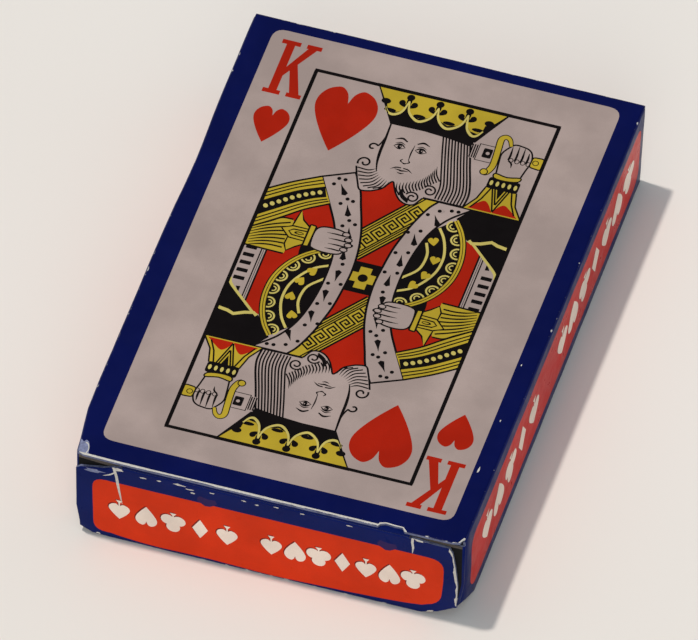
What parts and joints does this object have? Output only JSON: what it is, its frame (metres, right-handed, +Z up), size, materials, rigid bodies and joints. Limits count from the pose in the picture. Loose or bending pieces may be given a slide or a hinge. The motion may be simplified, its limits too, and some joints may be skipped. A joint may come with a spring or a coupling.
{
  "type": "playing card tuck box",
  "caption": "Flat folded-board tuck box with a hinged lid, tuck tongue and dust flaps, holding a full deck of playing cards.",
  "frame": {"origin": "middle of the footprint, on the surface that the box lies on", "axes": "+Z up out of the printed face, +Y from the tuck lid to the glued bottom end, +X to the right across the face"},
  "size_m": [0.061, 0.0904, 0.0175],
  "materials": {
    "printed_board": "semi-gloss coated print",
    "plain_board": "uncoated",
    "card_stock": "smooth coated card"
  },
  "bodies": {
    "box": {"front_panel": "printed_board", "back_panel": "printed_board", "left_side_panel": "printed_board", "right_side_panel": "printed_board", "glue_flap": "plain_board", "bottom_outer_panel": "printed_board", "bottom_inner_panel": "plain_board", "bottom_left_dust_flap": "plain_board", "bottom_right_dust_flap": "plain_board"},
    "lid": {"lid_panel": "printed_board"},
    "tongue": {"tuck_tongue": "printed_board"},
    "left_flap": {"top_left_dust_flap": "plain_board"},
    "right_flap": {"top_right_dust_flap": "plain_board"},
    "deck": {"clubs_10": "card_stock", "clubs_2_3": "card_stock", "clubs_4_5": "card_stock", "clubs_6_7": "card_stock", "clubs_8_9": "card_stock", "clubs_ace": "card_stock", "clubs_jack": "card_stock", "clubs_king": "card_stock", "clubs_queen": "card_stock", "diamonds_10": "card_stock", "diamonds_2_3": "card_stock", "diamonds_4_5": "card_stock", "diamonds_6_7": "card_stock", "diamonds_8_9": "card_stock", "diamonds_ace": "card_stock", "diamonds_jack": "card_stock", "diamonds_king": "card_stock", "diamonds_queen": "card_stock", "hearts_10": "card_stock", "hearts_2_3": "card_stock", "hearts_4_5": "card_stock", "hearts_6_7": "card_stock", "hearts_8_9": "card_stock", "hearts_ace": "card_stock", "hearts_jack": "card_stock", "hearts_king": "card_stock", "hearts_queen": "card_stock", "joker_1": "card_stock", "joker_2": "card_stock", "spades_10": "card_stock", "spades_2_3": "card_stock", "spades_4_5": "card_stock", "spades_6_7": "card_stock", "spades_8_9": "card_stock", "spades_ace": "card_stock", "spades_jack": "card_stock", "spades_king": "card_stock", "spades_queen": "card_stock"}
  },
  "joints": [
    {"name": "lid_hinge", "type": "hinge", "parent": "box", "child": "lid", "pos_m": [0, -0.04505, 0.0002], "axis": [1, 0, 0], "range_deg": [0, 90]},
    {"name": "tongue_crease", "type": "hinge", "parent": "lid", "child": "tongue", "pos_m": [0, -0.04505, 0.01685], "axis": [1, 0, 0], "range_deg": [-25, 0], "deforming": ["tuck_tongue"]},
    {"name": "left_flap_hinge", "type": "hinge", "parent": "box", "child": "left_flap", "pos_m": [-0.0303, -0.04455, 0.0087], "axis": [0, 0, 1], "range_deg": [-45, 0]},
    {"name": "right_flap_hinge", "type": "hinge", "parent": "box", "child": "right_flap", "pos_m": [0.0303, -0.04455, 0.0087], "axis": [0, 0, 1], "range_deg": [0, 45]},
    {"name": "deck_slide", "type": "slide", "parent": "box", "child": "deck", "axis": [0, 1, 0], "range_m": [-0.0005, 0.0005]}
  ],
  "couplings": [
    {"joint": "tongue_crease", "follows": "lid_hinge", "ratio": -0.2777},
    {"joint": "left_flap_hinge", "follows": "lid_hinge", "ratio": -0.5},
    {"joint": "right_flap_hinge", "follows": "lid_hinge", "ratio": 0.5}
  ]
}
